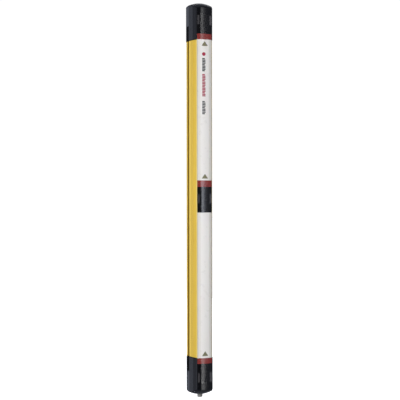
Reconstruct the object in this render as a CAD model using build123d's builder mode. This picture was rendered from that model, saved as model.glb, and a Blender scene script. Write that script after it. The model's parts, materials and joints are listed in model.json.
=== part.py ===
from build123d import *
import os

# Multi-beam safety light barrier: a tall extruded post with a domed front screen, two end caps and
# an M12 connector at the foot. Millimetres, +Z up, the front looks along -Y. The origin is at the
# connector's lower tip, on the centre line of the section.

# Beams and heights
beam_pitch = 400.0
beam_count = 3
beam_to_end = 42.2
cap_height = 85.7
cap_hood = 28.2
connector_reach = 11.0

# Section of the body
body_width = 52.0
body_depth = 64.7
screen_inset = 8.1
screen_edge_drop = 2.15
dome_facet = 7.9
dome_shoulder_drop = 0.4
tip_width = 0.6
tip_drop = 0.3
fold_inset = 3.6
fold_setback = 13.65
fold_groove = 0.5
slot_shoulder_inset = 0.5
corner_lead = 2.4
rear_inset = 7.4
corner_radius = 7.0
body_wall = 2.0
rear_groove_width = 14.0
rear_groove_depth = 0.8

# T-slots in both sides
slot_centre_y = 6.2
slot_throat = 8.0
slot_lead_front = 3.4
slot_lead_rear = 1.0
slot_lip = 3.9
slot_chamber_width = 14.4
slot_chamber_depth = 4.7
slot_wall = 1.7
cap_slot_length = 32.5

# Front screen
screen_thickness = 2.6
screen_rim = 2.0
screen_seat = 2.9
screen_corner = 0.8
gasket_thickness = 1.0
ledge_thickness = 1.8
end_band_height = 12.5
middle_band_height = 14.5
middle_window_above = 26.5
middle_window_below = 31.0

# End caps, each with a crowned end
cap_proud = 1.0
cap_bend = 7.0
cap_corner = 4.0
crown_radius = 58.0
crown_setback = 3.0
cap_end_depth = 13.7
pocket_radius = 11.5
pocket_wall = 4.2
connector_seat_depth = 5.0
connector_seat_margin = 1.0
seal_thickness = 1.0
tongue_gap = 2.4
tongue_thickness = 1.6
tongue_length = 10.0

# Screws and their channels
channel_radius = 3.5
front_channel_inset = 7.5
front_channel_setback = 12.85
rear_channel_inset = 10.1
rear_channel_setback = 5.45
screw_radius = 2.0
screw_tip_radius = 1.75
screw_bite = 14.0
screw_head_radius = 3.5
screw_head_height = 3.2
screw_socket_radius = 1.5
screw_socket_depth = 1.8
screw_recess = 12.7

# Carrier and what it holds
carrier_sheet = 1.5
carrier_guide_step = 0.7
carrier_setback = 9.15
buffer_thickness = 3.5
buffer_hole_margin = 2.5
holder_height = 22.0
holder_front_gap = 0.3
holder_tail_gap = 9.7
holder_corner = 1.5
bezel_thickness = 0.7
bezel_rim = 2.7
bezel_lip = 0.5
lens_margin = 5.1
lens_edge = 2.0
lens_bulge = 3.0
lens_setback = 0.9
diode_radius = 2.5
diode_length = 6.0
board_thickness = 1.6
beam_board_height = 30.0
main_board_margin = 1.0
main_board_above_cap = 15.0
main_board_below_beam = 56.5
spacer_height = 2.0
spacer_radius = 2.6
board_screw_radius = 1.4
board_screw_head = 2.4
board_hole_inset = 4.0
board_hole_end = 12.0
ribbon_width = 12.0
ribbon_thickness = 0.8
plug_width = 14.0
plug_height = 6.0
relay_size = (12.0, 11.0, 28.0)
relay_pitch = 40.0
relay_first = 60.0
relay_corner = 1.0
socket_size = (5.5, 3.1, 14.0)
socket_overhang = 6.0
lead_radius = 1.3
lead_rise = 4.0
lead_drop = 3.5
lead_bend = 3.9

# Display behind the bottom window
display_size = (20.0, 7.0, 12.5)
display_lift = 2.7
display_frame = 2.0
display_chamfer = 0.5

# M12 connector
thread_radius = 6.0
thread_chamfer = 0.6
cup_radius = 4.3
cup_depth = 8.0
pin_radius = 0.5
pin_circle = 2.75
pin_count = 4
pin_first_angle = 45.0
pin_setback = 2.2
flange_radius = 8.5
flange_thickness = 2.0
nut_width = 17.0
nut_height = 3.0
connector_inside = 5.5
insert_overhang = 0.5

# Clearances
slide_clearance = 0.2
fit_clearance = 0.1
screw_clearance = 0.15

# Heights worked out from the above
half_length = beam_pitch * (beam_count - 1) / 2 + beam_to_end
post_bottom = connector_reach - connector_seat_depth
post_middle = post_bottom + half_length
post_top = post_middle + half_length
bottom_joint = post_bottom + cap_height
top_joint = post_top - cap_height
connector_seat_z = connector_reach
profile_bottom = bottom_joint + seal_thickness
profile_top = top_joint - seal_thickness
beam_heights = [post_bottom + beam_to_end + beam_pitch * number for number in range(beam_count)]
beam_names = ["bottom", "middle", "top"]
bottom_hood = post_bottom + cap_hood
top_hood = post_top - cap_hood

# Section lines worked out from the above
front_y = -body_depth / 2
rear_y = body_depth / 2
screen_half_width = body_width / 2 - screen_inset
dome_shoulder_x = screen_half_width - dome_facet
fold_x = body_width / 2 - fold_inset
fold_y = front_y + fold_setback
slot_shoulder_x = body_width / 2 - slot_shoulder_inset
rear_half_width = body_width / 2 - rear_inset
screen_edge_y = front_y + screen_edge_drop
screen_back_y = screen_edge_y + screen_rim
ledge_y = screen_back_y + gasket_thickness
ledge_back_y = ledge_y + ledge_thickness
corridor_half = screen_half_width - screen_seat
slot_front_y = slot_centre_y - slot_throat / 2 - slot_lead_front
slot_rear_y = slot_centre_y + slot_throat / 2 + slot_lead_rear
corner_y = slot_rear_y + corner_lead
slot_floor_x = body_width / 2 - slot_lip - slot_lead_rear - slot_chamber_depth
guide_half = slot_floor_x - slot_wall
guide_front_y = slot_centre_y - slot_chamber_width / 2 - slot_wall

# Places worked out for the inner pieces
carrier_half = guide_half - slide_clearance
carrier_inner = carrier_half - carrier_sheet
carrier_front_y = guide_front_y + carrier_guide_step
carrier_rear_y = rear_y - carrier_setback
carrier_floor_y = carrier_rear_y - carrier_sheet
carrier_bottom = post_bottom + cap_end_depth + buffer_thickness
carrier_top = post_top - cap_end_depth - buffer_thickness
holder_front_y = screen_back_y + holder_front_gap
holder_head_half = corridor_half - 2 * slide_clearance
lens_radius = holder_head_half - lens_margin
holder_tail_y = carrier_floor_y - holder_tail_gap
lens_seat_y = holder_front_y + lens_setback + lens_bulge + lens_edge
board_back_y = carrier_floor_y - spacer_height
main_board_half = carrier_inner - main_board_margin
main_board_bottom = bottom_joint + main_board_above_cap
main_board_top = beam_heights[1] - main_board_below_beam
socket_x = carrier_inner - fit_clearance - socket_size[0] / 2

# Screw channels, two in front and two behind
front_channel_x = body_width / 2 - front_channel_inset
rear_channel_x = body_width / 2 - rear_channel_inset
channel_spots = [
    (front_channel_x, front_y + front_channel_setback),
    (-front_channel_x, front_y + front_channel_setback),
    (rear_channel_x, rear_y - rear_channel_setback),
    (-rear_channel_x, rear_y - rear_channel_setback),
]


def save(part, name):
    """Label one finished piece and write it to its own file."""
    part.label = name
    export_step(part, f"parts/{name}.step")


def front_plane(y):
    """Upright plane at a given depth, whose extrusions run to the front."""
    return Plane.XZ.offset(-y)


def body_outline(screen_step=True):
    """Outline of the post: domed front, folded flanks, raked rear corners."""
    screen_edge = [(screen_half_width, screen_edge_y)] if screen_step else []
    with BuildSketch() as outline:
        with BuildLine():
            TangentArc(
                (0, front_y),
                (dome_shoulder_x, front_y + dome_shoulder_drop),
                tangent=(1, 0),
            )
            Polyline(
                (dome_shoulder_x, front_y + dome_shoulder_drop),
                *screen_edge,
                (screen_half_width + tip_width, screen_edge_y + tip_drop),
                (fold_x, fold_y),
                (slot_shoulder_x, slot_front_y),
                (body_width / 2, corner_y),
                (rear_half_width, rear_y),
                (0, rear_y),
            )
            mirror(about=Plane.YZ)
        make_face()
        corners = outline.vertices().filter_by(lambda corner: corner.Y > slot_rear_y + fit_clearance)
        fillet(corners.filter_by(lambda corner: abs(corner.X) > fit_clearance), corner_radius)
    return outline.sketch


def cavity_outline():
    """Hollow of the post, behind the screen's ledges and between the slot walls and screw channels."""
    with BuildSketch() as cavity:
        offset(body_outline(), amount=-body_wall, kind=Kind.INTERSECTION)
        with Locations((0, (front_y + ledge_back_y) / 2)):
            Rectangle(body_width, ledge_back_y - front_y, mode=Mode.SUBTRACT)
        block_width = body_width / 2 - guide_half
        block_depth = slot_chamber_width + 2 * slot_wall
        for side in (-1, 1):
            with Locations((side * (guide_half + block_width / 2), slot_centre_y)):
                Rectangle(block_width, block_depth, mode=Mode.SUBTRACT)
        with Locations(channel_spots):
            Circle(channel_radius, mode=Mode.SUBTRACT)
    return cavity.sketch


def screen_rebate():
    """Front opening: the seat of the screen, and the light path between its two ledges."""
    with BuildSketch() as rebate:
        seat_front_y = front_y - 2 * cap_proud
        with Locations((0, (seat_front_y + ledge_y) / 2)):
            Rectangle(2 * screen_half_width, ledge_y - seat_front_y)
        with Locations((0, (ledge_y + ledge_back_y) / 2)):
            Rectangle(2 * corridor_half, ledge_thickness)
    return rebate.sketch


def side_slots(proud=0.0):
    """Both T-slots, each with a flared mouth, a throat and a wide chamber behind its lips."""
    mouth_x = body_width / 2 + proud
    throat_x = body_width / 2 - slot_lead_rear
    lip_x = slot_floor_x + slot_chamber_depth
    throat_front_y = slot_centre_y - slot_throat / 2
    throat_rear_y = slot_centre_y + slot_throat / 2
    chamber_front_y = slot_centre_y - slot_chamber_width / 2
    chamber_rear_y = slot_centre_y + slot_chamber_width / 2
    with BuildSketch() as slots:
        with BuildLine():
            Polyline(
                (mouth_x, slot_front_y),
                (slot_shoulder_x, slot_front_y),
                (throat_x - slot_lead_rear, throat_front_y),
                (lip_x, throat_front_y),
                (lip_x, chamber_front_y),
                (slot_floor_x, chamber_front_y),
                (slot_floor_x, chamber_rear_y),
                (lip_x, chamber_rear_y),
                (lip_x, throat_rear_y),
                (throat_x, throat_rear_y),
                (body_width / 2, slot_rear_y),
                (mouth_x, slot_rear_y),
                close=True,
            )
        make_face()
        mirror(about=Plane.YZ)
    return slots.sketch


def profile_section():
    """Section of the extrusion, with a fine groove at each fold and a shallow one down the back."""
    with BuildSketch() as section:
        add(body_outline())
        add(cavity_outline(), mode=Mode.SUBTRACT)
        add(screen_rebate(), mode=Mode.SUBTRACT)
        add(side_slots(cap_proud), mode=Mode.SUBTRACT)
        with Locations(channel_spots):
            Circle(screw_tip_radius + screw_clearance, mode=Mode.SUBTRACT)
        with Locations((fold_x, fold_y), (-fold_x, fold_y)):
            Circle(fold_groove, mode=Mode.SUBTRACT)
        with Locations((0, rear_y)):
            Rectangle(rear_groove_width, 2 * rear_groove_depth, mode=Mode.SUBTRACT)
    return section.sketch


def screen_section():
    """Section of the domed front screen, the same for windows, covers and bands."""
    edge_x = screen_half_width - fit_clearance
    with BuildSketch() as section:
        with BuildLine():
            TangentArc(
                (0, front_y),
                (dome_shoulder_x, front_y + dome_shoulder_drop),
                tangent=(1, 0),
            )
            Polyline(
                (dome_shoulder_x, front_y + dome_shoulder_drop),
                (edge_x, screen_edge_y),
                (edge_x, screen_back_y),
                (corridor_half, screen_back_y),
            )
            TangentArc((0, front_y + screen_thickness), (corridor_half, screen_back_y), tangent=(1, 0))
            mirror(about=Plane.YZ)
        make_face()
        rims = section.vertices().filter_by(lambda corner: abs(corner.Y - screen_edge_y) < fit_clearance)
        fillet(rims, screen_corner)
    return section.sketch


def screen_piece(name, low, high):
    """One length of the front screen, from one height to another."""
    with BuildPart() as piece:
        with BuildSketch(Plane.XY.offset(low)):
            add(screen_section())
        extrude(amount=high - low)
    save(piece.part, name)


def make_profile():
    """The yellow extrusion between the two end caps."""
    with BuildPart() as housing_profile:
        with BuildSketch(Plane.XY.offset(profile_bottom)):
            add(profile_section())
        extrude(amount=profile_top - profile_bottom)
    save(housing_profile.part, "housing_profile")


def make_screen():
    """Windows in front of the beams, red bands beside them and white covers between them."""
    middle_low = post_middle - middle_window_below
    middle_high = post_middle + middle_window_above
    upper_low = middle_high + middle_band_height
    screen_piece("bottom_window", bottom_hood, bottom_joint - end_band_height)
    screen_piece("bottom_red_band", bottom_joint - end_band_height, bottom_joint)
    screen_piece("lower_cover", bottom_joint, middle_low)
    screen_piece("middle_window", middle_low, middle_high)
    screen_piece("middle_red_band", middle_high, upper_low)
    screen_piece("upper_cover", upper_low, top_joint)
    screen_piece("top_red_band", top_joint, top_joint + end_band_height)
    screen_piece("top_window", top_joint + end_band_height, top_hood)


def make_screen_gaskets():
    """Soft strips on the two ledges, under the screen's edges."""
    for name, side in (("left", -1), ("right", 1)):
        with BuildPart() as strip:
            with BuildSketch(Plane.XY.offset(bottom_hood)):
                with Locations((side * (corridor_half + screen_seat / 2), (screen_back_y + ledge_y) / 2)):
                    Rectangle(screen_seat, gasket_thickness)
            extrude(amount=top_hood - bottom_hood)
        save(strip.part, f"screen_gasket_{name}")


def crown(end_z, upward):
    """Round-nosed column whose nose gives an end cap its crown, with the tip a little behind the axis."""
    shoulder_z = end_z - upward * crown_radius
    foot_z = shoulder_z - upward * cap_height
    with BuildPart() as column:
        with BuildSketch(front_plane(crown_setback)):
            with BuildLine():
                TangentArc((0, end_z), (crown_radius, shoulder_z), tangent=(1, 0))
                Polyline((crown_radius, shoulder_z), (crown_radius, foot_z), (0, foot_z), (0, end_z))
            make_face()
        revolve(axis=Axis((0, crown_setback, 0), (0, 0, 1)))
    return column.part


def make_cap(name, end_z, joint_z, hood_z, upward, bore_radius=0.0):
    """One moulded end cap: a deep hood with a crowned end, open in front for its window."""
    inner_end = end_z - upward * cap_end_depth
    seat_z = end_z - upward * connector_seat_depth
    with BuildPart() as cap:
        with BuildSketch(Plane.XY.offset(joint_z)) as outline:
            offset(body_outline(screen_step=False), amount=cap_proud, kind=Kind.INTERSECTION)
            bends = outline.vertices().filter_by(lambda bend: bend.Y < slot_centre_y)
            fillet(bends.filter_by(lambda bend: abs(bend.X) > fit_clearance), cap_bend)
        extrude(amount=end_z - joint_z)
        add(crown(end_z, upward), mode=Mode.INTERSECT)
        end_face = cap.faces().filter_by(GeomType.SPHERE)[0]
        fillet(end_face.edges(), cap_corner)
        with BuildSketch(Plane.XY.offset(joint_z)):
            add(cavity_outline())
        extrude(amount=inner_end - joint_z, mode=Mode.SUBTRACT)
        with BuildSketch(Plane.XY.offset(inner_end)):
            Circle(pocket_radius)
        extrude(amount=seat_z - upward * pocket_wall - inner_end, mode=Mode.SUBTRACT)
        with BuildSketch(Plane.XY.offset(joint_z)):
            add(screen_rebate())
        extrude(amount=hood_z - joint_z, mode=Mode.SUBTRACT)
        with BuildSketch(Plane.XY.offset(joint_z)):
            add(side_slots(2 * cap_proud))
        extrude(amount=upward * cap_slot_length, mode=Mode.SUBTRACT)
        with BuildSketch(Plane.XY.offset(joint_z)):
            with Locations(channel_spots):
                Circle(screw_radius + screw_clearance)
        extrude(amount=end_z - joint_z, mode=Mode.SUBTRACT)
        with BuildSketch(Plane.XY.offset(end_z)):
            with Locations(channel_spots):
                Circle(screw_head_radius + screw_clearance)
        extrude(amount=-upward * screw_recess, mode=Mode.SUBTRACT)
        if bore_radius > 0:
            with BuildSketch(Plane.XY.offset(end_z)):
                Circle(flange_radius + connector_seat_margin)
            extrude(amount=-upward * connector_seat_depth, mode=Mode.SUBTRACT)
            with BuildSketch(Plane.XY.offset(end_z)):
                Circle(bore_radius)
            extrude(amount=-upward * cap_end_depth, mode=Mode.SUBTRACT)
        tongue_y = rear_y - body_wall - slide_clearance - tongue_thickness / 2
        tongue_root = joint_z + upward * tongue_length
        tongue_width = 2 * (rear_channel_x - channel_radius - tongue_gap)
        with BuildSketch(Plane.XY.offset(tongue_root)):
            with Locations((0, tongue_y)):
                Rectangle(tongue_width, tongue_thickness + 2 * slide_clearance)
        extrude(amount=-upward * tongue_length)
        with BuildSketch(Plane.XY.offset(joint_z)):
            with Locations((0, tongue_y)):
                Rectangle(tongue_width, tongue_thickness)
        extrude(amount=-upward * tongue_length)
    save(cap.part, name)


def make_cap_gasket(name, low):
    """Flat seal with the section of the extrusion, between it and an end cap."""
    with BuildPart() as gasket:
        with BuildSketch(Plane.XY.offset(low)):
            add(profile_section())
        extrude(amount=seal_thickness)
    save(gasket.part, name)


def make_cap_screws(name, end_z, joint_z, upward):
    """Four long socket screws, sunk in the end face and threaded into the extrusion's channels."""
    head_top = end_z - upward * (screw_recess - screw_head_height)
    head_seat = end_z - upward * screw_recess
    profile_end = joint_z - upward * seal_thickness
    with BuildPart() as screws:
        with BuildSketch(Plane.XY.offset(head_top)):
            with Locations(channel_spots):
                Circle(screw_head_radius)
        extrude(amount=head_seat - head_top)
        with BuildSketch(Plane.XY.offset(head_seat)):
            with Locations(channel_spots):
                Circle(screw_radius)
        extrude(amount=joint_z - head_seat)
        with BuildSketch(Plane.XY.offset(joint_z)):
            with Locations(channel_spots):
                Circle(screw_tip_radius)
        extrude(amount=profile_end - upward * screw_bite - joint_z)
        with BuildSketch(Plane.XY.offset(head_top)):
            with Locations(channel_spots):
                RegularPolygon(screw_socket_radius, 6)
        extrude(amount=-upward * screw_socket_depth, mode=Mode.SUBTRACT)
    save(screws.part, name)


def make_carrier():
    """U-shaped sheet carrier that slides in between the slot walls."""
    with BuildPart() as optics_carrier:
        depth = carrier_rear_y - carrier_front_y
        with BuildSketch(Plane.XY.offset(carrier_bottom)):
            with Locations((0, (carrier_rear_y + carrier_front_y) / 2)):
                Rectangle(2 * carrier_half, depth)
            with Locations((0, (carrier_rear_y + carrier_front_y) / 2 - carrier_sheet / 2)):
                Rectangle(2 * carrier_inner, depth - carrier_sheet, mode=Mode.SUBTRACT)
        extrude(amount=carrier_top - carrier_bottom)
    save(optics_carrier.part, "optics_carrier")


def make_buffers():
    """Foam blocks between the carrier's ends and the caps, the lower one with a hole for the leads."""
    middle_y = (carrier_rear_y + carrier_front_y) / 2
    with BuildPart() as top_buffer:
        with BuildSketch(Plane.XY.offset(carrier_top)):
            with Locations((0, middle_y)):
                Rectangle(2 * carrier_inner, carrier_rear_y - carrier_front_y)
        extrude(amount=buffer_thickness)
    save(top_buffer.part, "top_buffer")
    with BuildPart() as bottom_buffer:
        with BuildSketch(Plane.XY.offset(carrier_bottom)):
            with Locations((0, middle_y)):
                Rectangle(2 * carrier_inner, carrier_rear_y - carrier_front_y)
            Circle(nut_width / 2 + buffer_hole_margin, mode=Mode.SUBTRACT)
        extrude(amount=-buffer_thickness)
    save(bottom_buffer.part, "bottom_buffer")


def make_lens_holder(name, height):
    """Moulded holder: a wide head behind the window, a narrow tail in the carrier, a tapered bore."""
    with BuildPart() as holder:
        with BuildSketch(front_plane(carrier_front_y)):
            with Locations((0, height)):
                RectangleRounded(2 * holder_head_half, holder_height, holder_corner)
        extrude(amount=carrier_front_y - holder_front_y)
        with BuildSketch(front_plane(holder_tail_y)):
            with Locations((0, height)):
                Rectangle(2 * (carrier_inner - fit_clearance), holder_height)
        extrude(amount=holder_tail_y - carrier_front_y)
        with BuildSketch(Plane.YZ):
            with BuildLine():
                Polyline(
                    (holder_front_y, height),
                    (holder_front_y, height + lens_radius + fit_clearance),
                    (lens_seat_y, height + lens_radius + fit_clearance),
                    (lens_seat_y, height + lens_radius - lens_edge / 2),
                    (holder_tail_y, height + diode_radius + 2 * slide_clearance),
                    (holder_tail_y, height),
                    close=True,
                )
            make_face()
        revolve(axis=Axis((0, 0, height), (0, 1, 0)), mode=Mode.SUBTRACT)
    save(holder.part, f"{name}_lens_holder")


def make_lens(name, height):
    """Plano-convex lens, flat side on the holder's seat."""
    with BuildPart() as lens:
        with BuildSketch(Plane.YZ):
            with BuildLine():
                TangentArc(
                    (lens_seat_y - lens_edge - lens_bulge, height),
                    (lens_seat_y - lens_edge, height + lens_radius),
                    tangent=(0, 1),
                )
                Polyline(
                    (lens_seat_y - lens_edge, height + lens_radius),
                    (lens_seat_y, height + lens_radius),
                    (lens_seat_y, height),
                    (lens_seat_y - lens_edge - lens_bulge, height),
                )
            make_face()
        revolve(axis=Axis((0, 0, height), (0, 1, 0)))
    save(lens.part, f"{name}_lens")


def make_lens_bezel(name, height):
    """Dark plate on the holder's front that keeps the lens in its bore."""
    with BuildPart() as bezel:
        with BuildSketch(front_plane(holder_front_y)):
            with Locations((0, height)):
                RectangleRounded(2 * (holder_head_half - bezel_rim), holder_height, holder_corner)
                Circle(lens_radius - bezel_lip, mode=Mode.SUBTRACT)
        extrude(amount=bezel_thickness)
    save(bezel.part, f"{name}_lens_bezel")


def make_beam_board(name, height):
    """Small board across the holder's tail, with its diode looking out through the bore."""
    with BuildPart() as board:
        with BuildSketch(front_plane(holder_tail_y + board_thickness)):
            with Locations((0, height)):
                Rectangle(2 * (carrier_inner - fit_clearance), beam_board_height)
        extrude(amount=board_thickness)
    save(board.part, f"{name}_beam_board")
    with BuildPart() as diode:
        with BuildSketch(Plane.YZ):
            tip_y = holder_tail_y - diode_length
            with BuildLine():
                JernArc((tip_y, height), (0, 1), diode_radius, -90)
                Polyline(
                    (tip_y + diode_radius, height + diode_radius),
                    (holder_tail_y, height + diode_radius),
                    (holder_tail_y, height),
                    (tip_y, height),
                )
            make_face()
        revolve(axis=Axis((0, 0, height), (0, 1, 0)))
    save(diode.part, f"{name}_beam_diode")


def make_main_board():
    """Main board on spacers over the carrier's floor, with its screws, relays and plugs."""
    board_length = main_board_top - main_board_bottom
    hole_x = main_board_half - board_hole_inset
    hole_z = board_length / 2 - board_hole_end
    centre_z = (main_board_bottom + main_board_top) / 2
    holes = [(side * hole_x, centre_z + end * hole_z) for side in (-1, 1) for end in (-1, 1)]
    with BuildPart() as main_board:
        with BuildSketch(front_plane(board_back_y)):
            with Locations((0, centre_z)):
                Rectangle(2 * main_board_half, board_length)
            with Locations(holes):
                Circle(board_screw_radius + fit_clearance, mode=Mode.SUBTRACT)
        extrude(amount=board_thickness)
    save(main_board.part, "main_board")
    with BuildPart() as board_spacers:
        with BuildSketch(front_plane(carrier_floor_y)):
            with Locations(holes):
                Circle(spacer_radius)
                Circle(board_screw_radius + fit_clearance, mode=Mode.SUBTRACT)
        extrude(amount=spacer_height)
    save(board_spacers.part, "board_spacers")
    with BuildPart() as board_screws:
        with BuildSketch(front_plane(carrier_floor_y)):
            with Locations(holes):
                Circle(board_screw_radius)
        extrude(amount=spacer_height + board_thickness)
        with BuildSketch(front_plane(board_back_y - board_thickness)):
            with Locations(holes):
                Circle(board_screw_head)
        extrude(amount=board_screw_head - board_screw_radius)
    save(board_screws.part, "board_screws")
    with BuildPart() as board_relays:
        first_z = main_board_bottom + relay_first
        with BuildSketch(front_plane(board_back_y - board_thickness)):
            with Locations((0, first_z), (0, first_z + relay_pitch)):
                RectangleRounded(relay_size[0], relay_size[2], relay_corner)
        extrude(amount=relay_size[1])
    save(board_relays.part, "board_relays")
    with BuildPart() as lead_socket:
        with BuildSketch(front_plane(board_back_y - board_thickness)):
            with Locations((socket_x, main_board_bottom - socket_overhang + socket_size[2] / 2)):
                Rectangle(socket_size[0], socket_size[2])
        extrude(amount=socket_size[1])
    save(lead_socket.part, "lead_socket")


def make_ribbons():
    """Flat cables on the carrier's floor, and the plugs that join them to the boards."""
    runs = {
        "lower_ribbon": (beam_heights[0] - plug_height, main_board_bottom + plug_height),
        "upper_ribbon": (main_board_top - plug_height, beam_heights[-1] + plug_height),
    }
    for name, (low, high) in runs.items():
        with BuildPart() as ribbon:
            with BuildSketch(front_plane(carrier_floor_y)):
                with Locations((0, (low + high) / 2)):
                    Rectangle(ribbon_width, high - low)
            extrude(amount=ribbon_thickness)
        save(ribbon.part, name)
    with BuildPart() as board_plugs:
        with BuildSketch(front_plane(carrier_floor_y - ribbon_thickness)):
            with Locations(
                (0, main_board_bottom + plug_height / 2),
                (0, main_board_top - plug_height / 2),
            ):
                Rectangle(ribbon_width, plug_height)
        extrude(amount=spacer_height - ribbon_thickness)
    save(board_plugs.part, "board_plugs")
    with BuildPart() as beam_plugs:
        with BuildSketch(front_plane(carrier_floor_y - ribbon_thickness)):
            with Locations([(0, height) for height in beam_heights]):
                Rectangle(plug_width, plug_height)
        extrude(amount=carrier_floor_y - ribbon_thickness - holder_tail_y - board_thickness)
    save(beam_plugs.part, "beam_plugs")


def make_display():
    """Indicator behind the bottom window, its board, and the bracket that stands on the carrier."""
    low = beam_heights[0] + holder_height / 2 + display_lift
    centre_z = low + display_size[2] / 2
    display_back_y = holder_front_y + display_size[1]
    bracket_front_y = display_back_y + board_thickness
    bracket_half = holder_head_half
    with BuildPart() as display_unit:
        with BuildSketch(front_plane(display_back_y)):
            with Locations((0, centre_z)):
                Rectangle(display_size[0], display_size[2])
        extrude(amount=display_size[1])
        front_face = display_unit.faces().sort_by(Axis.Y)[0]
        chamfer(front_face.edges(), display_chamfer)
    save(display_unit.part, "display_unit")
    with BuildPart() as display_board:
        with BuildSketch(front_plane(bracket_front_y)):
            with Locations((0, centre_z)):
                Rectangle(2 * bracket_half, display_size[2] + display_frame)
        extrude(amount=board_thickness)
    save(display_board.part, "display_board")
    with BuildPart() as display_bracket:
        with BuildSketch(front_plane(carrier_front_y)):
            with Locations((0, centre_z)):
                Rectangle(2 * bracket_half, display_size[2] + display_frame)
                Rectangle(
                    2 * (bracket_half - display_frame),
                    display_size[2] - display_frame,
                    mode=Mode.SUBTRACT,
                )
        extrude(amount=carrier_front_y - bracket_front_y)
    save(display_bracket.part, "display_bracket")


def make_connector():
    """M12 plug connector through the bottom cap, with its insert, pins, seal and lock nut."""
    nut_z = connector_seat_z + pocket_wall
    shell_top = nut_z + connector_inside
    flange_top = connector_seat_z - seal_thickness
    with BuildPart() as connector_shell:
        with BuildSketch():
            Circle(thread_radius)
        extrude(amount=shell_top)
        chamfer(connector_shell.faces().sort_by(Axis.Z)[0].edges(), thread_chamfer)
        with BuildSketch(Plane.XY.offset(flange_top)):
            Circle(flange_radius)
        extrude(amount=-flange_thickness)
        with BuildSketch():
            Circle(cup_radius)
        extrude(amount=shell_top, mode=Mode.SUBTRACT)
    save(connector_shell.part, "connector_shell")
    pin_spots = PolarLocations(pin_circle, pin_count, start_angle=pin_first_angle)
    insert_top = shell_top + insert_overhang
    with BuildPart() as connector_insert:
        with BuildSketch(Plane.XY.offset(cup_depth)):
            Circle(cup_radius - fit_clearance / 2)
            with pin_spots:
                Circle(pin_radius + fit_clearance / 2, mode=Mode.SUBTRACT)
            Circle(pin_radius + fit_clearance / 2, mode=Mode.SUBTRACT)
        extrude(amount=insert_top - cup_depth)
    save(connector_insert.part, "connector_insert")
    with BuildPart() as connector_pins:
        with BuildSketch(Plane.XY.offset(pin_setback)):
            with pin_spots:
                Circle(pin_radius)
            Circle(pin_radius)
        extrude(amount=insert_top - pin_setback)
    save(connector_pins.part, "connector_pins")
    with BuildPart() as connector_seal:
        with BuildSketch(Plane.XY.offset(flange_top)):
            Circle(flange_radius)
            Circle(thread_radius + fit_clearance, mode=Mode.SUBTRACT)
        extrude(amount=seal_thickness)
    save(connector_seal.part, "connector_seal")
    with BuildPart() as connector_nut:
        with BuildSketch(Plane.XY.offset(nut_z)):
            RegularPolygon(nut_width / 2, 6, major_radius=False)
            Circle(thread_radius + fit_clearance, mode=Mode.SUBTRACT)
        extrude(amount=nut_height)
    save(connector_nut.part, "connector_nut")
    return insert_top


def make_supply_lead(start_z):
    """Lead from the connector's insert, round the bottom lens holder, to the main board's socket."""
    lead_y = board_back_y - board_thickness - socket_size[1] / 2
    socket_end = main_board_bottom - socket_overhang
    with BuildPart() as supply_lead:
        with BuildLine() as route:
            FilletPolyline(
                (0, 0, start_z),
                (0, 0, start_z + lead_rise),
                (socket_x, lead_y, beam_heights[0] - beam_board_height / 2 - lead_drop),
                (socket_x, lead_y, socket_end),
                radius=lead_bend,
            )
        with BuildSketch(Plane.XY.offset(start_z)):
            Circle(lead_radius)
        sweep(path=route.wire())
    save(supply_lead.part, "supply_lead")


os.makedirs("parts", exist_ok=True)
make_profile()
make_screen()
make_screen_gaskets()
make_cap("top_end_cap", post_top, top_joint, top_hood, 1)
make_cap("bottom_end_cap", post_bottom, bottom_joint, bottom_hood, -1, thread_radius + screw_clearance)
make_cap_gasket("bottom_cap_gasket", bottom_joint)
make_cap_gasket("top_cap_gasket", profile_top)
make_cap_screws("top_cap_screws", post_top, top_joint, 1)
make_cap_screws("bottom_cap_screws", post_bottom, bottom_joint, -1)
make_carrier()
make_buffers()
for beam_name, beam_height in zip(beam_names, beam_heights):
    make_lens_holder(beam_name, beam_height)
    make_lens(beam_name, beam_height)
    make_lens_bezel(beam_name, beam_height)
    make_beam_board(beam_name, beam_height)
make_main_board()
make_ribbons()
make_display()
make_supply_lead(make_connector())
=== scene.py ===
import json
import math

import bmesh
import bpy
from mathutils import Matrix, Vector
from mathutils.bvhtree import BVHTree


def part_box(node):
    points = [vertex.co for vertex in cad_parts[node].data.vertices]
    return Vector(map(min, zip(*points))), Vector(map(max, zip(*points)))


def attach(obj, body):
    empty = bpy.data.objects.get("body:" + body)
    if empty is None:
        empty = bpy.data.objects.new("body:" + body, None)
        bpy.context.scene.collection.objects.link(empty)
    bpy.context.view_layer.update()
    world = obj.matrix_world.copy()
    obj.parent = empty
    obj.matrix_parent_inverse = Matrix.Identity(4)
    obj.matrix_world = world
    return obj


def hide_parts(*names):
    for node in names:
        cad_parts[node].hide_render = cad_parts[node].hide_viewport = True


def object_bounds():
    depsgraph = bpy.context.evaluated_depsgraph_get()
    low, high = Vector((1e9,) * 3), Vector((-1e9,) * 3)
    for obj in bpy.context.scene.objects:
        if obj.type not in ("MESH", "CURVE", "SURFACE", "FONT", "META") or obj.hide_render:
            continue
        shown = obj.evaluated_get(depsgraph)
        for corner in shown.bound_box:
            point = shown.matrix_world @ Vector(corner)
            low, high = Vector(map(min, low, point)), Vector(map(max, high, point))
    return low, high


# Looks of the safety light barrier: finishes for every CAD piece, the printed pointers and tick
# strips on the covers, the connector's thread, and a white studio. Metres throughout.

MM = 0.001

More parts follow.
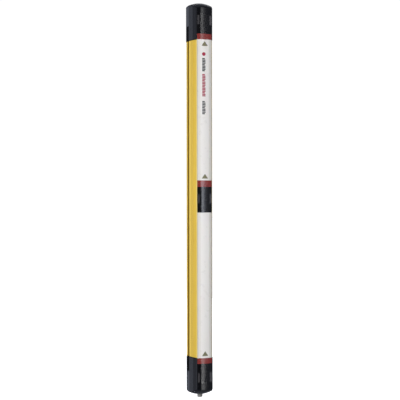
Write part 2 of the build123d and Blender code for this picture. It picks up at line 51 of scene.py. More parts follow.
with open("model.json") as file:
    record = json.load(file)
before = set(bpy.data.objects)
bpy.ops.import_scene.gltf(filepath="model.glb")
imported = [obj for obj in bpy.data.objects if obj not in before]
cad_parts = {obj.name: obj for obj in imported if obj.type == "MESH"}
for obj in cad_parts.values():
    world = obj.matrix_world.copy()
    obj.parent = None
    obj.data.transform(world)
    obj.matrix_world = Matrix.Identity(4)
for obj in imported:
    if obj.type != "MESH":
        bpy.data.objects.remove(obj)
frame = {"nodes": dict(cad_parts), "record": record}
CAD_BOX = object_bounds()
NODES = frame["nodes"]
BASE_Z = CAD_BOX[0].z


def middle_of(node):
    """Height of the middle of a CAD piece."""
    low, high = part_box(node)
    return (low.z + high.z) / 2


MIDDLE_Z = middle_of("housing_profile")


def compass(azimuth):
    """Level direction from the post towards an azimuth: 0 is the front, and a right angle is +X."""
    return Vector((math.sin(azimuth), -math.cos(azimuth), 0.0))


def turned_to(direction, roll):
    """Rotation that points a camera or a light along a direction, rolled about it."""
    return direction.to_track_quat("-Z", "Y") @ Matrix.Rotation(roll, 3, "Z").to_quaternion()


# Camera, as measured on the photo: image side, pixel scale at the post's axis and where the axis lies
IMAGE_SIDE = 400.0
VIEW_AZIMUTH = math.radians(-21.9)
VIEW_DISTANCE = 2.4
PIXELS_PER_METRE = 441.3
AXIS_PIXEL_X = 199.55
MIDDLE_PIXEL_Y = 198.7
LEAN = math.radians(-0.085)
SENSOR_WIDTH = 36.0
CLIP_NEAR = 0.05
CLIP_FAR = 60.0


def make_camera():
    """Camera at the photo's angle, level with the middle of the post."""
    data = bpy.data.cameras.new("photo_camera")
    data.sensor_width = SENSOR_WIDTH
    data.lens = PIXELS_PER_METRE * VIEW_DISTANCE / IMAGE_SIDE * SENSOR_WIDTH
    data.shift_x = (IMAGE_SIDE / 2 - AXIS_PIXEL_X) / IMAGE_SIDE
    data.shift_y = (MIDDLE_PIXEL_Y - IMAGE_SIDE / 2) / IMAGE_SIDE
    data.dof.use_dof = False
    data.clip_start = CLIP_NEAR
    data.clip_end = CLIP_FAR
    camera = bpy.data.objects.new("photo_camera", data)
    bpy.context.scene.collection.objects.link(camera)
    back = compass(VIEW_AZIMUTH)
    camera.location = back * VIEW_DISTANCE + Vector((0.0, 0.0, MIDDLE_Z))
    camera.rotation_mode = "QUATERNION"
    camera.rotation_quaternion = turned_to(-back, LEAN)
    bpy.context.scene.camera = camera


# Sockets of a Mix node that blends two colours
MIX_SHARE = 0
MIX_FIRST = 6
MIX_SECOND = 7
MIX_RESULT = 2


class Finish:
    """One procedural material: a Principled shader with variation, roughness and bump from noise."""

    def __init__(self, name, colour, roughness, metallic=0.0):
        self.material = bpy.data.materials.new(name)
        self.material.use_nodes = True
        self.nodes = self.material.node_tree.nodes
        self.links = self.material.node_tree.links
        self.shader = self.nodes["Principled BSDF"]
        self.shader.inputs["Base Color"].default_value = (*colour, 1.0)
        self.shader.inputs["Roughness"].default_value = roughness
        self.shader.inputs["Metallic"].default_value = metallic
        self.material.diffuse_color = (*colour, 1.0)
        self.colour = colour
        self.roughness = roughness
        self.normal = None
        self.base = None
        self.coordinates = self.nodes.new("ShaderNodeTexCoord").outputs["Object"]

    def set(self, **sockets):
        """Constant values, set on the shader's own sockets."""
        for name, value in sockets.items():
            title = name.replace("_", " ").title().replace("Ior", "IOR")
            self.shader.inputs[title].default_value = value
        return self

    def noise(self, scale, detail=3.0, stretch=(1.0, 1.0, 1.0), rough=0.55):
        """A noise field in the object's own space, drawn out along an axis by a stretch under 1."""
        mapping = self.nodes.new("ShaderNodeMapping")
        mapping.inputs["Scale"].default_value = stretch
        self.links.new(self.coordinates, mapping.inputs["Vector"])
        field = self.nodes.new("ShaderNodeTexNoise")
        field.inputs["Scale"].default_value = scale
        field.inputs["Detail"].default_value = detail
        field.inputs["Roughness"].default_value = rough
        self.links.new(mapping.outputs["Vector"], field.inputs["Vector"])
        return field.outputs["Fac"]

    def change(self, field, start, end, low, high, curve="LINEAR"):
        """Change of a value from low to high while a field goes from start to end."""
        mapped = self.nodes.new("ShaderNodeMapRange")
        mapped.interpolation_type = curve
        mapped.inputs["From Min"].default_value = start
        mapped.inputs["From Max"].default_value = end
        mapped.inputs["To Min"].default_value = low
        mapped.inputs["To Max"].default_value = high
        self.links.new(field, mapped.inputs["Value"])
        return mapped.outputs["Result"]

    def ramp(self, field, low, high, middle=0.5, spread=0.2):
        """Maps the middle of a noise field to a range of values."""
        return self.change(field, middle - spread, middle + spread, low, high)

    def mottle(self, field, amount):
        """Areas that are darker than the base colour by up to an amount."""
        darker = [channel * (1.0 - amount) for channel in self.colour]
        return self.blend_to(darker, self.ramp(field, 0.0, 1.0))

    def blend_to(self, other, share):
        """Base colour so far, blended to another one by a share."""
        mix = self.nodes.new("ShaderNodeMix")
        mix.data_type = "RGBA"
        mix.inputs[MIX_FIRST].default_value = (*self.colour, 1.0)
        mix.inputs[MIX_SECOND].default_value = (*other, 1.0)
        if self.base is not None:
            self.links.new(self.base, mix.inputs[MIX_FIRST])
        self.links.new(share, mix.inputs[MIX_SHARE])
        self.base = mix.outputs[MIX_RESULT]
        self.links.new(self.base, self.shader.inputs["Base Color"])
        return self

    def band(self, axis, start, end, fade, both_sides=False):
        """Share that is 1 between two places along an axis of the object and fades to 0 outside them."""
        split = self.nodes.new("ShaderNodeSeparateXYZ")
        self.links.new(self.coordinates, split.inputs["Vector"])
        place = split.outputs[axis]
        if both_sides:
            place = self.combine("ABSOLUTE", place)
        rise = self.change(place, start - fade, start + fade, 0.0, 1.0, curve="SMOOTHSTEP")
        fall = self.change(place, end - fade, end + fade, 1.0, 0.0, curve="SMOOTHSTEP")
        return self.combine("MULTIPLY", rise, fall)

    def combine(self, operation, *fields):
        """One step of arithmetic on fields, such as a sum, a product or an absolute value."""
        node = self.nodes.new("ShaderNodeMath")
        node.operation = operation
        for socket, field in zip(node.inputs, fields):
            self.links.new(field, socket)
        return node.outputs[0]

    def vary_roughness(self, field, amount):
        """Roughness a little above and below its middle value."""
        spread = self.ramp(field, self.roughness - amount, self.roughness + amount)
        self.links.new(spread, self.shader.inputs["Roughness"])
        return self

    def bump(self, field, depth):
        """Relief of a given depth, laid over the relief already there."""
        bump = self.nodes.new("ShaderNodeBump")
        bump.inputs["Distance"].default_value = depth
        self.links.new(field, bump.inputs["Height"])
        if self.normal is not None:
            self.links.new(self.normal, bump.inputs["Normal"])
        self.normal = bump.outputs["Normal"]
        self.links.new(self.normal, self.shader.inputs["Normal"])
        return self


# Painted shade inside the T-slots: a darker yellow where the recess lies in shadow, from their beds out to
# their lips
SLOT_PAINTED_SHADE = (0.20, 0.125, 0.016)
SLOT_BED = 12.0 * MM
SLOT_LIP = 24.9 * MM
SLOT_FRONT = -1.5 * MM
SLOT_BACK = 14.0 * MM

# Painted sheen on the yellow: a painted highlight towards the screen's edge and beside the slots, each
# between two places from front to back
FRONT_SHEEN = (0.60, 0.46, 0.13)
FRONT_SHEEN_Y = (-40.0 * MM, -28.0 * MM)
SIDE_SHEEN = (0.68, 0.48, 0.07)
SIDE_SHEEN_Y = (-7.0 * MM, 4.0 * MM)
SHEEN_FADE = 2.0 * MM


def powder_coat():
    """Yellow powder coat: fine orange peel over the faint draw lines of the extrusion."""
    finish = Finish("powder_coat_yellow", colour=(0.56, 0.374, 0.036), roughness=0.36)
    finish.mottle(finish.noise(9.0, stretch=(1, 1, 0.3)), amount=0.07)
    # Painted shade inside the T-slots, where the recess lies in shadow
    across = finish.band("X", SLOT_BED, SLOT_LIP, fade=0.1 * MM, both_sides=True)
    along = finish.band("Y", SLOT_FRONT, SLOT_BACK, fade=0.3 * MM)
    finish.blend_to(SLOT_PAINTED_SHADE, finish.combine("MULTIPLY", across, along))
    # Painted sheen: paler bands towards the screen's edge and beside the slots
    finish.blend_to(FRONT_SHEEN, finish.band("Y", *FRONT_SHEEN_Y, SHEEN_FADE))
    finish.blend_to(SIDE_SHEEN, finish.band("Y", *SIDE_SHEEN_Y, SHEEN_FADE))
    finish.vary_roughness(finish.noise(60.0), amount=0.05)
    finish.bump(finish.noise(420.0, stretch=(1, 1, 0.01)), depth=0.03 * MM)
    finish.bump(finish.noise(1600.0, detail=2.0), depth=0.04 * MM)
    return finish.set(specular_ior_level=0.5).material


def moulded_black():
    """Black cap plastic with the fine spark-eroded grain of its mould."""
    finish = Finish("moulded_black", colour=(0.0045, 0.0045, 0.006), roughness=0.17)
    finish.mottle(finish.noise(25.0), amount=0.25)
    finish.vary_roughness(finish.noise(140.0), amount=0.03)
    finish.bump(finish.noise(2600.0, detail=4.0, rough=0.7), depth=0.04 * MM)
    return finish.set(specular_ior_level=0.55).material


# Paler sides of the windows beside each beam, where the optics' frame shows through: the frame's lit edges
# are a painted highlight on the window, and the right ones are painted lighter, as painted light from that
# side
BEAM_HEIGHTS = [middle_of(f"{beam}_lens") for beam in ("bottom", "middle", "top")]
MARK_HALF_HEIGHT = 10.3 * MM
MARK_INNER = 12.2 * MM
MARK_OUTER = 16.8 * MM
MARK_FADE = 0.3 * MM
MARK_HIGHLIGHT_GREY = (0.055, 0.052, 0.056)
MARK_RIGHT_HIGHLIGHT_GREY = (0.105, 0.098, 0.105)


def smoked_window():
    """Polished dark window that lets a little of the optics behind it show."""
    finish = Finish("smoked_window", colour=(0.0050, 0.0045, 0.0055), roughness=0.19)
    finish.mottle(finish.noise(30.0), amount=0.3)
    # Painted highlights beside each beam, lighter again on the right as painted light
    marks = None
    for beam in BEAM_HEIGHTS:
        mark = finish.band("Z", beam - MARK_HALF_HEIGHT, beam + MARK_HALF_HEIGHT, MARK_FADE)
        marks = mark if marks is None else finish.combine("ADD", marks, mark)
    sides = finish.band("X", MARK_INNER, MARK_OUTER, MARK_FADE, both_sides=True)
    finish.blend_to(MARK_HIGHLIGHT_GREY, finish.combine("MULTIPLY", marks, sides))
    right = finish.band("X", MARK_INNER, MARK_OUTER, MARK_FADE)
    finish.blend_to(MARK_RIGHT_HIGHLIGHT_GREY, finish.combine("MULTIPLY", marks, right))
    finish.vary_roughness(finish.noise(90.0), amount=0.01)
    finish.bump(finish.noise(1200.0, detail=2.0), depth=0.003 * MM)
    return finish.set(alpha=0.8, specular_ior_level=0.9).material


# Painted shade on the covers: greyer sides, and a darker rim beside the yellow profile, out to past the
# covers' edges
COVER_SHADE = (0.69, 0.64, 0.58)
COVER_SHADE_X = 10.5 * MM
COVER_EDGE_SHADE = (0.51, 0.475, 0.42)
COVER_EDGE_SHADE_X = 15.6 * MM
PAST_COVER = 30.0 * MM


def white_cover():
    """White cover plastic, smooth with a faint moulded ripple."""
    finish = Finish("cover_white", colour=(0.785, 0.74, 0.70), roughness=0.30)
    finish.mottle(finish.noise(12.0, stretch=(1, 1, 0.3)), amount=0.03)
    # Painted shade: greyer sides, and darker still at the rims
    finish.blend_to(COVER_SHADE, finish.band("X", COVER_SHADE_X, PAST_COVER, fade=1.5 * MM, both_sides=True))
    finish.blend_to(COVER_EDGE_SHADE, finish.band("X", COVER_EDGE_SHADE_X, PAST_COVER, fade=0.5 * MM, both_sides=True))
    finish.vary_roughness(finish.noise(110.0), amount=0.04)
    finish.bump(finish.noise(160.0, detail=2.0, stretch=(1, 1, 0.25)), depth=0.04 * MM)
    return finish.set(subsurface_weight=0.05, coat_weight=0.15).material


def red_band():
    """Red band plastic, coloured through, under a clear gloss."""
    finish = Finish("band_red", colour=(0.235, 0.027, 0.022), roughness=0.26)
    finish.mottle(finish.noise(60.0), amount=0.15)
    finish.vary_roughness(finish.noise(200.0), amount=0.02)
    finish.bump(finish.noise(900.0, detail=2.0), depth=0.003 * MM)
    return finish.set(coat_weight=0.9, coat_roughness=0.17).material


def seal_rubber():
    """Dark matt rubber with a dusty grain."""
    finish = Finish("seal_rubber", colour=(0.014, 0.014, 0.014), roughness=0.75)
    finish.mottle(finish.noise(300.0), amount=0.4)
    finish.bump(finish.noise(1800.0), depth=0.06 * MM)
    return finish.material


def soft_foam():
    """Open-celled foam."""
    finish = Finish("foam_dark", colour=(0.035, 0.035, 0.038), roughness=0.9)
    finish.mottle(finish.noise(1100.0, detail=5.0), amount=0.7)
    finish.bump(finish.noise(1100.0, detail=5.0), depth=0.4 * MM)
    return finish.material


def zinc_steel():
    """Zinc-plated screw steel with turning marks."""
    finish = Finish("screw_steel", colour=(0.56, 0.57, 0.58), roughness=0.28, metallic=1.0)
    finish.mottle(finish.noise(500.0), amount=0.2)
    finish.vary_roughness(finish.noise(700.0), amount=0.1)
    finish.bump(finish.noise(1500.0, stretch=(1, 1, 4)), depth=0.03 * MM)
    return finish.material


def mill_aluminium():
    """Bare sheet aluminium with rolling marks along its length."""
    finish = Finish("mill_aluminium", colour=(0.70, 0.71, 0.72), roughness=0.36, metallic=1.0)
    finish.mottle(finish.noise(40.0), amount=0.12)
    finish.vary_roughness(finish.noise(900.0, stretch=(1, 1, 0.02)), amount=0.1)
    finish.bump(finish.noise(900.0, stretch=(1, 1, 0.02)), depth=0.03 * MM)
    return finish.material


def holder_plastic():
    """Light grey plastic of the lens holders."""
    finish = Finish("holder_grey", colour=(0.60, 0.60, 0.62), roughness=0.5)
    finish.mottle(finish.noise(80.0), amount=0.08)
    finish.bump(finish.noise(1400.0), depth=0.04 * MM)
    return finish.material


def lens_plastic():
    """Dark tinted lens plastic that only lets the beam's own light through."""
    finish = Finish("lens_tinted", colour=(0.020, 0.012, 0.018), roughness=0.06)
    finish.mottle(finish.noise(90.0), amount=0.3)
    finish.vary_roughness(finish.noise(90.0), amount=0.02)
    finish.bump(finish.noise(60.0, detail=1.0), depth=0.01 * MM)
    return finish.set(transmission_weight=0.3, ior=1.49).material


def board_lacquer():
    """Green circuit board with paler tracks under its lacquer."""
    finish = Finish("board_green", colour=(0.018, 0.085, 0.035), roughness=0.35)
    tracks = finish.noise(260.0, detail=0.0, stretch=(3, 1, 0.35))
    finish.blend_to((0.05, 0.17, 0.07), finish.ramp(tracks, 0.0, 1.0))
    finish.bump(tracks, depth=0.08 * MM)
    return finish.set(coat_weight=0.4).material


def component_plastic():
    """Dark plastic of plugs, relays and the display."""
    finish = Finish("component_dark", colour=(0.025, 0.025, 0.028), roughness=0.42)
    finish.mottle(finish.noise(200.0), amount=0.3)
    finish.bump(finish.noise(1800.0), depth=0.04 * MM)
    return finish.material


def ribbon_sheath():
    """Grey flat cable with a ridge over each core."""
    finish = Finish("ribbon_grey", colour=(0.34, 0.35, 0.37), roughness=0.45)
    wave = finish.nodes.new("ShaderNodeTexWave")
    wave.bands_direction = "X"
    wave.inputs["Scale"].default_value = 40.0
    finish.links.new(finish.coordinates, wave.inputs["Vector"])
    finish.mottle(finish.noise(300.0), amount=0.1)
    finish.bump(wave.outputs["Fac"], depth=0.3 * MM)
    return finish.material


def diode_resin():
    """Dark clear resin of the beam diodes."""
    finish = Finish("diode_amber", colour=(0.09, 0.02, 0.03), roughness=0.08)
    finish.mottle(finish.noise(400.0), amount=0.3)
    finish.bump(finish.noise(120.0, detail=1.0), depth=0.01 * MM)
    return finish.set(transmission_weight=0.4).material


def nickel_plate():
    """Nickel-plated brass of the connector, a little dull."""
    finish = Finish("connector_nickel", colour=(0.66, 0.64, 0.60), roughness=0.28, metallic=0.65)
    finish.mottle(finish.noise(700.0), amount=0.22)
    finish.vary_roughness(finish.noise(500.0), amount=0.1)
    finish.bump(finish.noise(1800.0, stretch=(1, 1, 5)), depth=0.03 * MM)
    return finish.material


def contact_gold():
    """Gold-plated contact pins."""
    finish = Finish("contact_gold", colour=(0.80, 0.56, 0.22), roughness=0.22, metallic=1.0)
    finish.mottle(finish.noise(900.0), amount=0.15)
    finish.bump(finish.noise(2000.0), depth=0.02 * MM)
    return finish.material


def print_ink(name, colour):
    """Matt screen-printed ink with a slightly uneven film."""
    finish = Finish(name, colour, roughness=0.5)
    finish.mottle(finish.noise(700.0), amount=0.18)
    finish.vary_roughness(finish.noise(300.0), amount=0.08)
    finish.bump(finish.noise(1500.0), depth=0.02 * MM)
    return finish.material


MATERIALS = {
    "housing_yellow": powder_coat(),
    "cap_black": moulded_black(),
    "window_smoked": smoked_window(),
    "cover_white": white_cover(),
    "band_red": red_band(),
    "seal_rubber": seal_rubber(),
    "screw_steel": zinc_steel(),
    "carrier_sheet": mill_aluminium(),
    "holder_grey": holder_plastic(),
    "lens_tinted": lens_plastic(),
    "board_green": board_lacquer(),
    "component_dark": component_plastic(),
    "ribbon_grey": ribbon_sheath(),
    "foam_dark": soft_foam(),
    "diode_amber": diode_resin(),
    "connector_nickel": nickel_plate(),
    "contact_gold": contact_gold(),
}
SLOT_OF = {entry["node"]: entry["material_slot"] for entry in frame["record"]["subparts"]}

# Edge breaks that a finished piece has, by material slot
EDGE_BREAK = {
    "housing_yellow": 0.25 * MM,
    "cap_black": 0.3 * MM,
    "window_smoked": 0.15 * MM,
    "cover_white": 0.15 * MM,
    "band_red": 0.15 * MM,
    "screw_steel": 0.2 * MM,
    "holder_grey": 0.2 * MM,
    "connector_nickel": 0.15 * MM,
}
EDGE_ANGLE = math.radians(28.0)
EDGE_SEGMENTS = 2
WELD_DISTANCE = 0.002 * MM


def break_edges(piece, width):
    """Rounds a piece's edges a little, on a copy of its mesh that modifiers make."""
    weld = piece.modifiers.new("weld", "WELD")
    weld.merge_threshold = WELD_DISTANCE
    edges = piece.modifiers.new("edge_break", "BEVEL")
    edges.width = width
    edges.segments = EDGE_SEGMENTS
    edges.limit_method = "ANGLE"
    edges.angle_limit = EDGE_ANGLE
    edges.use_clamp_overlap = True
    shading = piece.modifiers.new("shading", "WEIGHTED_NORMAL")
    shading.keep_sharp = True


def dress_nodes():
    """Gives every CAD piece its finish, and the outer ones a small break along their edges."""
    for name, piece in NODES.items():
        slot = SLOT_OF[name]
        if not piece.material_slots:
            piece.data.materials.append(MATERIALS[slot])
        for place in piece.material_slots:
            place.material = MATERIALS[slot]
        if slot in EDGE_BREAK:
            break_edges(piece, EDGE_BREAK[slot])


def make_piece(name, mesh, material):
    """Smooth-shaded object of a finished mesh, on the post's one body."""
    bmesh.ops.recalc_face_normals(mesh, faces=mesh.faces)
    data = bpy.data.meshes.new(name)
    mesh.to_mesh(data)
    mesh.free()
    data.materials.append(material)
    for face in data.polygons:
        face.use_smooth = True
    piece = bpy.data.objects.new(name, data)
    bpy.context.scene.collection.objects.link(piece)
    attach(piece, "root")
    return piece


def surface_of(name):
    """Search tree over the mesh of a CAD piece."""
    mesh = bmesh.new()
    mesh.from_mesh(NODES[name].data)
    tree = BVHTree.FromBMesh(mesh)
    mesh.free()
    return tree


def on_front(tree, x, z):
    """Point of the front surface at a given place across and up, seen from a metre in front."""
    start = Vector((x, -1.0, z))
    return tree.ray_cast(start, Vector((0.0, 1.0, 0.0)))[0]


def height_at(pixel_y):
    """Height on the screen's front that the photo shows at a given row."""
    front = -CAD_BOX[0].y * math.cos(VIEW_AZIMUTH)
    scale = PIXELS_PER_METRE * VIEW_DISTANCE / (VIEW_DISTANCE - front)
    return MIDDLE_Z + (MIDDLE_PIXEL_Y - pixel_y) / scale


PRINT_PROUD = 0.04 * MM
PRINT_STEP = 0.8 * MM


def print_patch(name, outline, tree, ink):
    """Thin film of ink on a cover's front. The outline gives the left and right edge at each height."""
    mesh = bmesh.new()
    steps = 1 + max(int((right - left) / PRINT_STEP) for z, left, right in outline)
    grid = []
    for z, left, right in outline:
        line = []
        for step in range(steps + 1):
            x = left + (right - left) * step / steps
            line.append(mesh.verts.new(on_front(tree, x, z) - Vector((0.0, PRINT_PROUD, 0.0))))
        grid.append(line)
    for low, high in zip(grid, grid[1:]):
        for step in range(steps):
            mesh.faces.new((low[step], low[step + 1], high[step + 1], high[step]))
    make_piece(name, mesh, ink)


# Pointers printed on the covers: the top one under its red band, the other two above theirs
POINTER_WIDTH = 14.8 * MM
POINTER_HEIGHT = 10.5 * MM
POINTER_ROWS = 7
POINTER_TIP = 0.15 * MM
POINTER_GAP = 4.0 * MM
BOTTOM_POINTER_GAP = 4.5 * MM


def make_pointers():
    """Plain triangles that point up, with slightly blunt tips, on the covers beside the red bands."""
    ink = print_ink("pointer_ink", (0.20, 0.185, 0.10))
    top_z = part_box("upper_cover")[1].z
    middle_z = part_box("middle_red_band")[1].z
    bottom_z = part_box("lower_cover")[0].z
    places = {
        "pointer_top": ("upper_cover", top_z - POINTER_GAP - POINTER_HEIGHT),
        "pointer_middle": ("upper_cover", middle_z + POINTER_GAP),
        "pointer_bottom": ("lower_cover", bottom_z + BOTTOM_POINTER_GAP),
    }
    for name, (cover, low) in places.items():
        outline = []
        for row in range(POINTER_ROWS + 1):
            share = row / POINTER_ROWS
            half = POINTER_WIDTH / 2 * (1.0 - share) + POINTER_TIP
            outline.append((low + POINTER_HEIGHT * share, -half, half))
        print_patch(name, outline, surface_of(cover), ink)


# Tick strip down the upper cover, in the places and colours of the print: the photo's rows at the top
# and the foot of each run, and at the dot's centre
UPPER_RUN_ROWS = (58.0, 72.5)
CRIMSON_RUN_ROWS = (74.0, 98.0)
LOWER_RUN_ROWS = (101.0, 115.5)
DOT_ROW = 54.0
STRIP_X = -2.2 * MM
TICK_PITCH = 3.4 * MM
TICK_HEIGHT = 2.5 * MM
TICK_WIDTH = 7.8 * MM
SHORT_TICK_WIDTH = 0.8 * TICK_WIDTH
TICKS_PER_GROUP = 4
DOT_RADIUS = 4.2 * MM
DOT_STEPS = 12
DOT_TIP = 0.1 * MM


def make_tick_strip():
    """Plain tick runs, dark, crimson and dark, each group led by a short tick, and a round dot above."""
    dark = print_ink("strip_ink_dark", (0.030, 0.032, 0.036))
    crimson = print_ink("strip_ink_crimson", (0.36, 0.020, 0.055))
    tree = surface_of("upper_cover")
    runs = {
        "strip_dark_upper": (dark, UPPER_RUN_ROWS),
        "strip_crimson": (crimson, CRIMSON_RUN_ROWS),
        "strip_dark_lower": (dark, LOWER_RUN_ROWS),
    }
    left = STRIP_X - TICK_WIDTH / 2
    for name, (ink, (top_row, foot_row)) in runs.items():
        high = height_at(top_row)
        count = int((high - height_at(foot_row)) / TICK_PITCH)
        for number in range(count):
            start = high - TICK_HEIGHT - number * TICK_PITCH
            right = left + (TICK_WIDTH if number % TICKS_PER_GROUP else SHORT_TICK_WIDTH)
            outline = [(start, left, right), (start + TICK_HEIGHT, left, right)]
            print_patch(f"{name}_{number}", outline, tree, ink)
    centre = height_at(DOT_ROW)
    dot = []
    for step in range(DOT_STEPS + 1):
        angle = math.pi * step / DOT_STEPS
        half = max(DOT_RADIUS * math.sin(angle), DOT_TIP)
        dot.append((centre - DOT_RADIUS * math.cos(angle), STRIP_X - half, STRIP_X + half))
    print_patch("strip_dot", dot, tree, crimson)


# Connector shell. The thread's groove takes a share of the pitch, and the crests between are flat.
THREAD_RADIUS = 6.0 * MM
THREAD_PITCH = 1.0 * MM
THREAD_DEPTH = 0.55 * MM
THREAD_GROOVE = 0.6
THREAD_CHAMFER = 0.6 * MM
THREAD_RUNOUT = 0.8 * MM
THREAD_SEGMENTS = 64
RINGS_PER_TURN = 8
FLANGE_HEIGHT = 2.0 * MM
FLANGE_BREAK = 0.2 * MM
CUP_CLEARANCE = 0.05 * MM
CUP_LIP = 0.3 * MM
CUP_SETBACK = 0.6 * MM


def make_thread():
    """The connector's shell with its thread cut as a helix, a flange and an open cup."""
    low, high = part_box("connector_shell")
    insert_low, insert_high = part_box("connector_insert")
    seal_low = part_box("connector_seal")[0].z
    flange_low = seal_low - FLANGE_HEIGHT
    flange = (high.x - low.x) / 2
    cup = (insert_high.x - insert_low.x) / 2 + CUP_CLEARANCE
    mesh = bmesh.new()
    rings = []

    def groove(angle, z):
        """Radius of the thread's helix, which runs out before the flange."""
        turn = (z - low.z) / THREAD_PITCH - angle / (2 * math.pi)
        share = abs((turn % 1.0) * 2 - 1)
        fade = min(1.0, (flange_low - z) / THREAD_RUNOUT)
        return THREAD_RADIUS - THREAD_DEPTH * fade * max(0.0, 1.0 - share / THREAD_GROOVE)

    def ring(z, radius=None):
        """Ring of points at a height, on a circle or on the thread's groove."""
        points = []
        for step in range(THREAD_SEGMENTS):
            angle = 2 * math.pi * step / THREAD_SEGMENTS
            reach = groove(angle, z) if radius is None else radius
            points.append(mesh.verts.new((reach * math.cos(angle), reach * math.sin(angle), z)))
        rings.append(points)

    ring(insert_high.z - CUP_SETBACK, cup)
    ring(low.z + CUP_LIP, cup)
    ring(low.z, cup + CUP_LIP)
    ring(low.z, THREAD_RADIUS - THREAD_CHAMFER)
    length = flange_low - low.z - THREAD_CHAMFER
    steps = int(length / THREAD_PITCH * RINGS_PER_TURN)
    for step in range(steps + 1):
        ring(low.z + THREAD_CHAMFER + length * step / steps)
    ring(flange_low, flange - FLANGE_BREAK)
    ring(flange_low + FLANGE_BREAK, flange)
    ring(seal_low - FLANGE_BREAK, flange)
    ring(seal_low, flange - FLANGE_BREAK)
    ring(seal_low, THREAD_RADIUS)
    ring(high.z, THREAD_RADIUS)
    for lower, upper in zip(rings, rings[1:] + rings[:1]):
        for step in range(THREAD_SEGMENTS):
            after = (step + 1) % THREAD_SEGMENTS
            mesh.faces.new((lower[step], lower[after], upper[after], upper[step]))
    piece = make_piece("connector_shell_threaded", mesh, MATERIALS["connector_nickel"])
    piece.data.set_sharp_from_angle(angle=EDGE_ANGLE)
    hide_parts("connector_shell")


# Faint blue of the studio's fills, which the dark plastics reflect
COOL = (0.86, 0.93, 1.12)
NEUTRAL = (1.0, 1.0, 1.0)

# Direction in which the studio stays dark, so that the left of the dome reflects no light. The light
# dims between two cosines of the angle to it.
DARK_AZIMUTH = math.radians(-20.0)
DIM_FROM = 0.80
DIM_TO = 0.90
EVEN_STRENGTH = 0.17
DARK_STRENGTH = 0.03
BACKDROP_STRENGTH = 1.05


def make_world():
    """White backdrop for the camera. The post itself gets a dim, even light with one dark direction."""
    world = bpy.data.worlds.new("studio")
    world.use_nodes = True
    bpy.context.scene.world = world
    nodes = world.node_tree.nodes
    links = world.node_tree.links
    background = nodes["Background"]
    sky = nodes.new("ShaderNodeMix")
    sky.data_type = "RGBA"
    sky.inputs[MIX_FIRST].default_value = (*COOL, 1.0)
    sky.inputs[MIX_SECOND].default_value = (*NEUTRAL, 1.0)
    seen = nodes.new("ShaderNodeLightPath").outputs["Is Camera Ray"]
    links.new(seen, sky.inputs[MIX_SHARE])
    links.new(sky.outputs[MIX_RESULT], background.inputs["Color"])
    direction = nodes.new("ShaderNodeTexCoord").outputs["Generated"]
    toward = nodes.new("ShaderNodeVectorMath")
    toward.operation = "DOT_PRODUCT"
    toward.inputs[1].default_value = compass(DARK_AZIMUTH)
    links.new(direction, toward.inputs[0])
    dim = nodes.new("ShaderNodeMapRange")
    dim.inputs["From Min"].default_value = DIM_FROM
    dim.inputs["From Max"].default_value = DIM_TO
    dim.inputs["To Min"].default_value = EVEN_STRENGTH
    dim.inputs["To Max"].default_value = DARK_STRENGTH
    links.new(toward.outputs["Value"], dim.inputs["Value"])
    strength = nodes.new("ShaderNodeMapRange")
    strength.inputs["To Max"].default_value = BACKDROP_STRENGTH
    links.new(seen, strength.inputs["Value"])
    links.new(dim.outputs["Result"], strength.inputs["To Min"])
    links.new(strength.outputs["Result"], background.inputs["Strength"])


FLOOR_REACH = 20.0
FLOOR_SEGMENTS = 8
FLOOR_DROP = 1.0 * MM


def make_floor():
    """Plain pale floor, wide enough to fill the view. Only the camera sees it, and it casts shadows."""
    mesh = bmesh.new()
    bmesh.ops.create_grid(mesh, x_segments=FLOOR_SEGMENTS, y_segments=FLOOR_SEGMENTS, size=FLOOR_REACH)
    data = bpy.data.meshes.new("floor")
    mesh.to_mesh(data)
    mesh.free()
    finish = Finish("floor_white", colour=(0.9, 0.9, 0.9), roughness=0.8)
    finish.mottle(finish.noise(2.0), amount=0.02)
    finish.set(emission_color=(1.0, 1.0, 1.0, 1.0), emission_strength=0.95)
    data.materials.append(finish.material)
    floor = bpy.data.objects.new("floor", data)
    floor.location.z = BASE_Z - FLOOR_DROP
    floor.visible_glossy = False
    floor.visible_diffuse = False
    bpy.context.scene.collection.objects.link(floor)


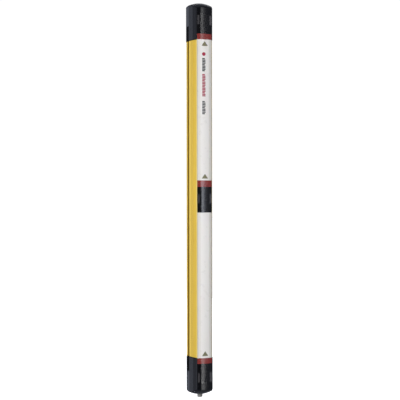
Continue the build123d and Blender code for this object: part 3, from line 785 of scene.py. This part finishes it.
def soft_box(name, azimuth, distance, size, radiance, tint=NEUTRAL, rise=0.0, roll=0.0, in_gloss=True):
    """Area light of a width and height, at an azimuth round the post and turned to its middle."""
    data = bpy.data.lights.new(name, "AREA")
    data.shape = "RECTANGLE"
    data.size, data.size_y = size
    data.energy = radiance * math.pi * data.size * data.size_y
    data.color = tint
    light = bpy.data.objects.new(name, data)
    place = compass(math.radians(azimuth)) * distance + Vector((0.0, 0.0, rise))
    light.location = place + Vector((0.0, 0.0, MIDDLE_Z))
    light.rotation_mode = "QUATERNION"
    light.rotation_quaternion = turned_to(-place, math.radians(roll))
    light.visible_glossy = in_gloss
    bpy.context.scene.collection.objects.link(light)


def streak_lights():
    """Narrow boxes in front that make the streak down the dome, and a low one for the bottom cap."""
    soft_box("streak_box", azimuth=16.0, distance=2.2, size=(0.20, 2.8), radiance=2.5, roll=2.4)
    soft_box("streak_core", azimuth=16.4, distance=2.1, size=(0.30, 0.8), radiance=2.0, tint=COOL)
    soft_box("streak_low", azimuth=17.0, distance=2.2, size=(0.12, 0.7), radiance=1.8, rise=-0.9)


def flank_lights():
    """Faint boxes that the caps' sides reflect on the left, and a high one behind for the top crown."""
    soft_box("bend_low", azimuth=-88.0, distance=2.1, size=(1.0, 0.7), radiance=0.45, tint=COOL, rise=-0.9)
    soft_box("flank_box", azimuth=-151.0, distance=2.2, size=(1.2, 2.8), radiance=0.44, tint=COOL)
    soft_box("bend_box", azimuth=-92.0, distance=2.2, size=(2.8, 2.8), radiance=0.20, tint=COOL)
    soft_box("crown_box", azimuth=158.0, distance=1.6, size=(0.9, 0.5), radiance=0.5, rise=1.5)


def fill_lights():
    """Wide boxes that light the colours and don't show in the gloss."""
    soft_box("fill_front", azimuth=-35.0, distance=2.0, size=(1.4, 2.4), radiance=5.6, in_gloss=False)
    soft_box("fill_left", azimuth=-105.0, distance=2.0, size=(1.6, 1.4), radiance=3.2, in_gloss=False)
    soft_box("back_box", azimuth=135.0, distance=2.2, size=(2.0, 2.4), radiance=4.5, in_gloss=False)


make_camera()
dress_nodes()
make_pointers()
make_tick_strip()
make_thread()
make_world()
make_floor()
streak_lights()
flank_lights()
fill_lights()
bpy.context.scene.view_settings.view_transform = "Standard"
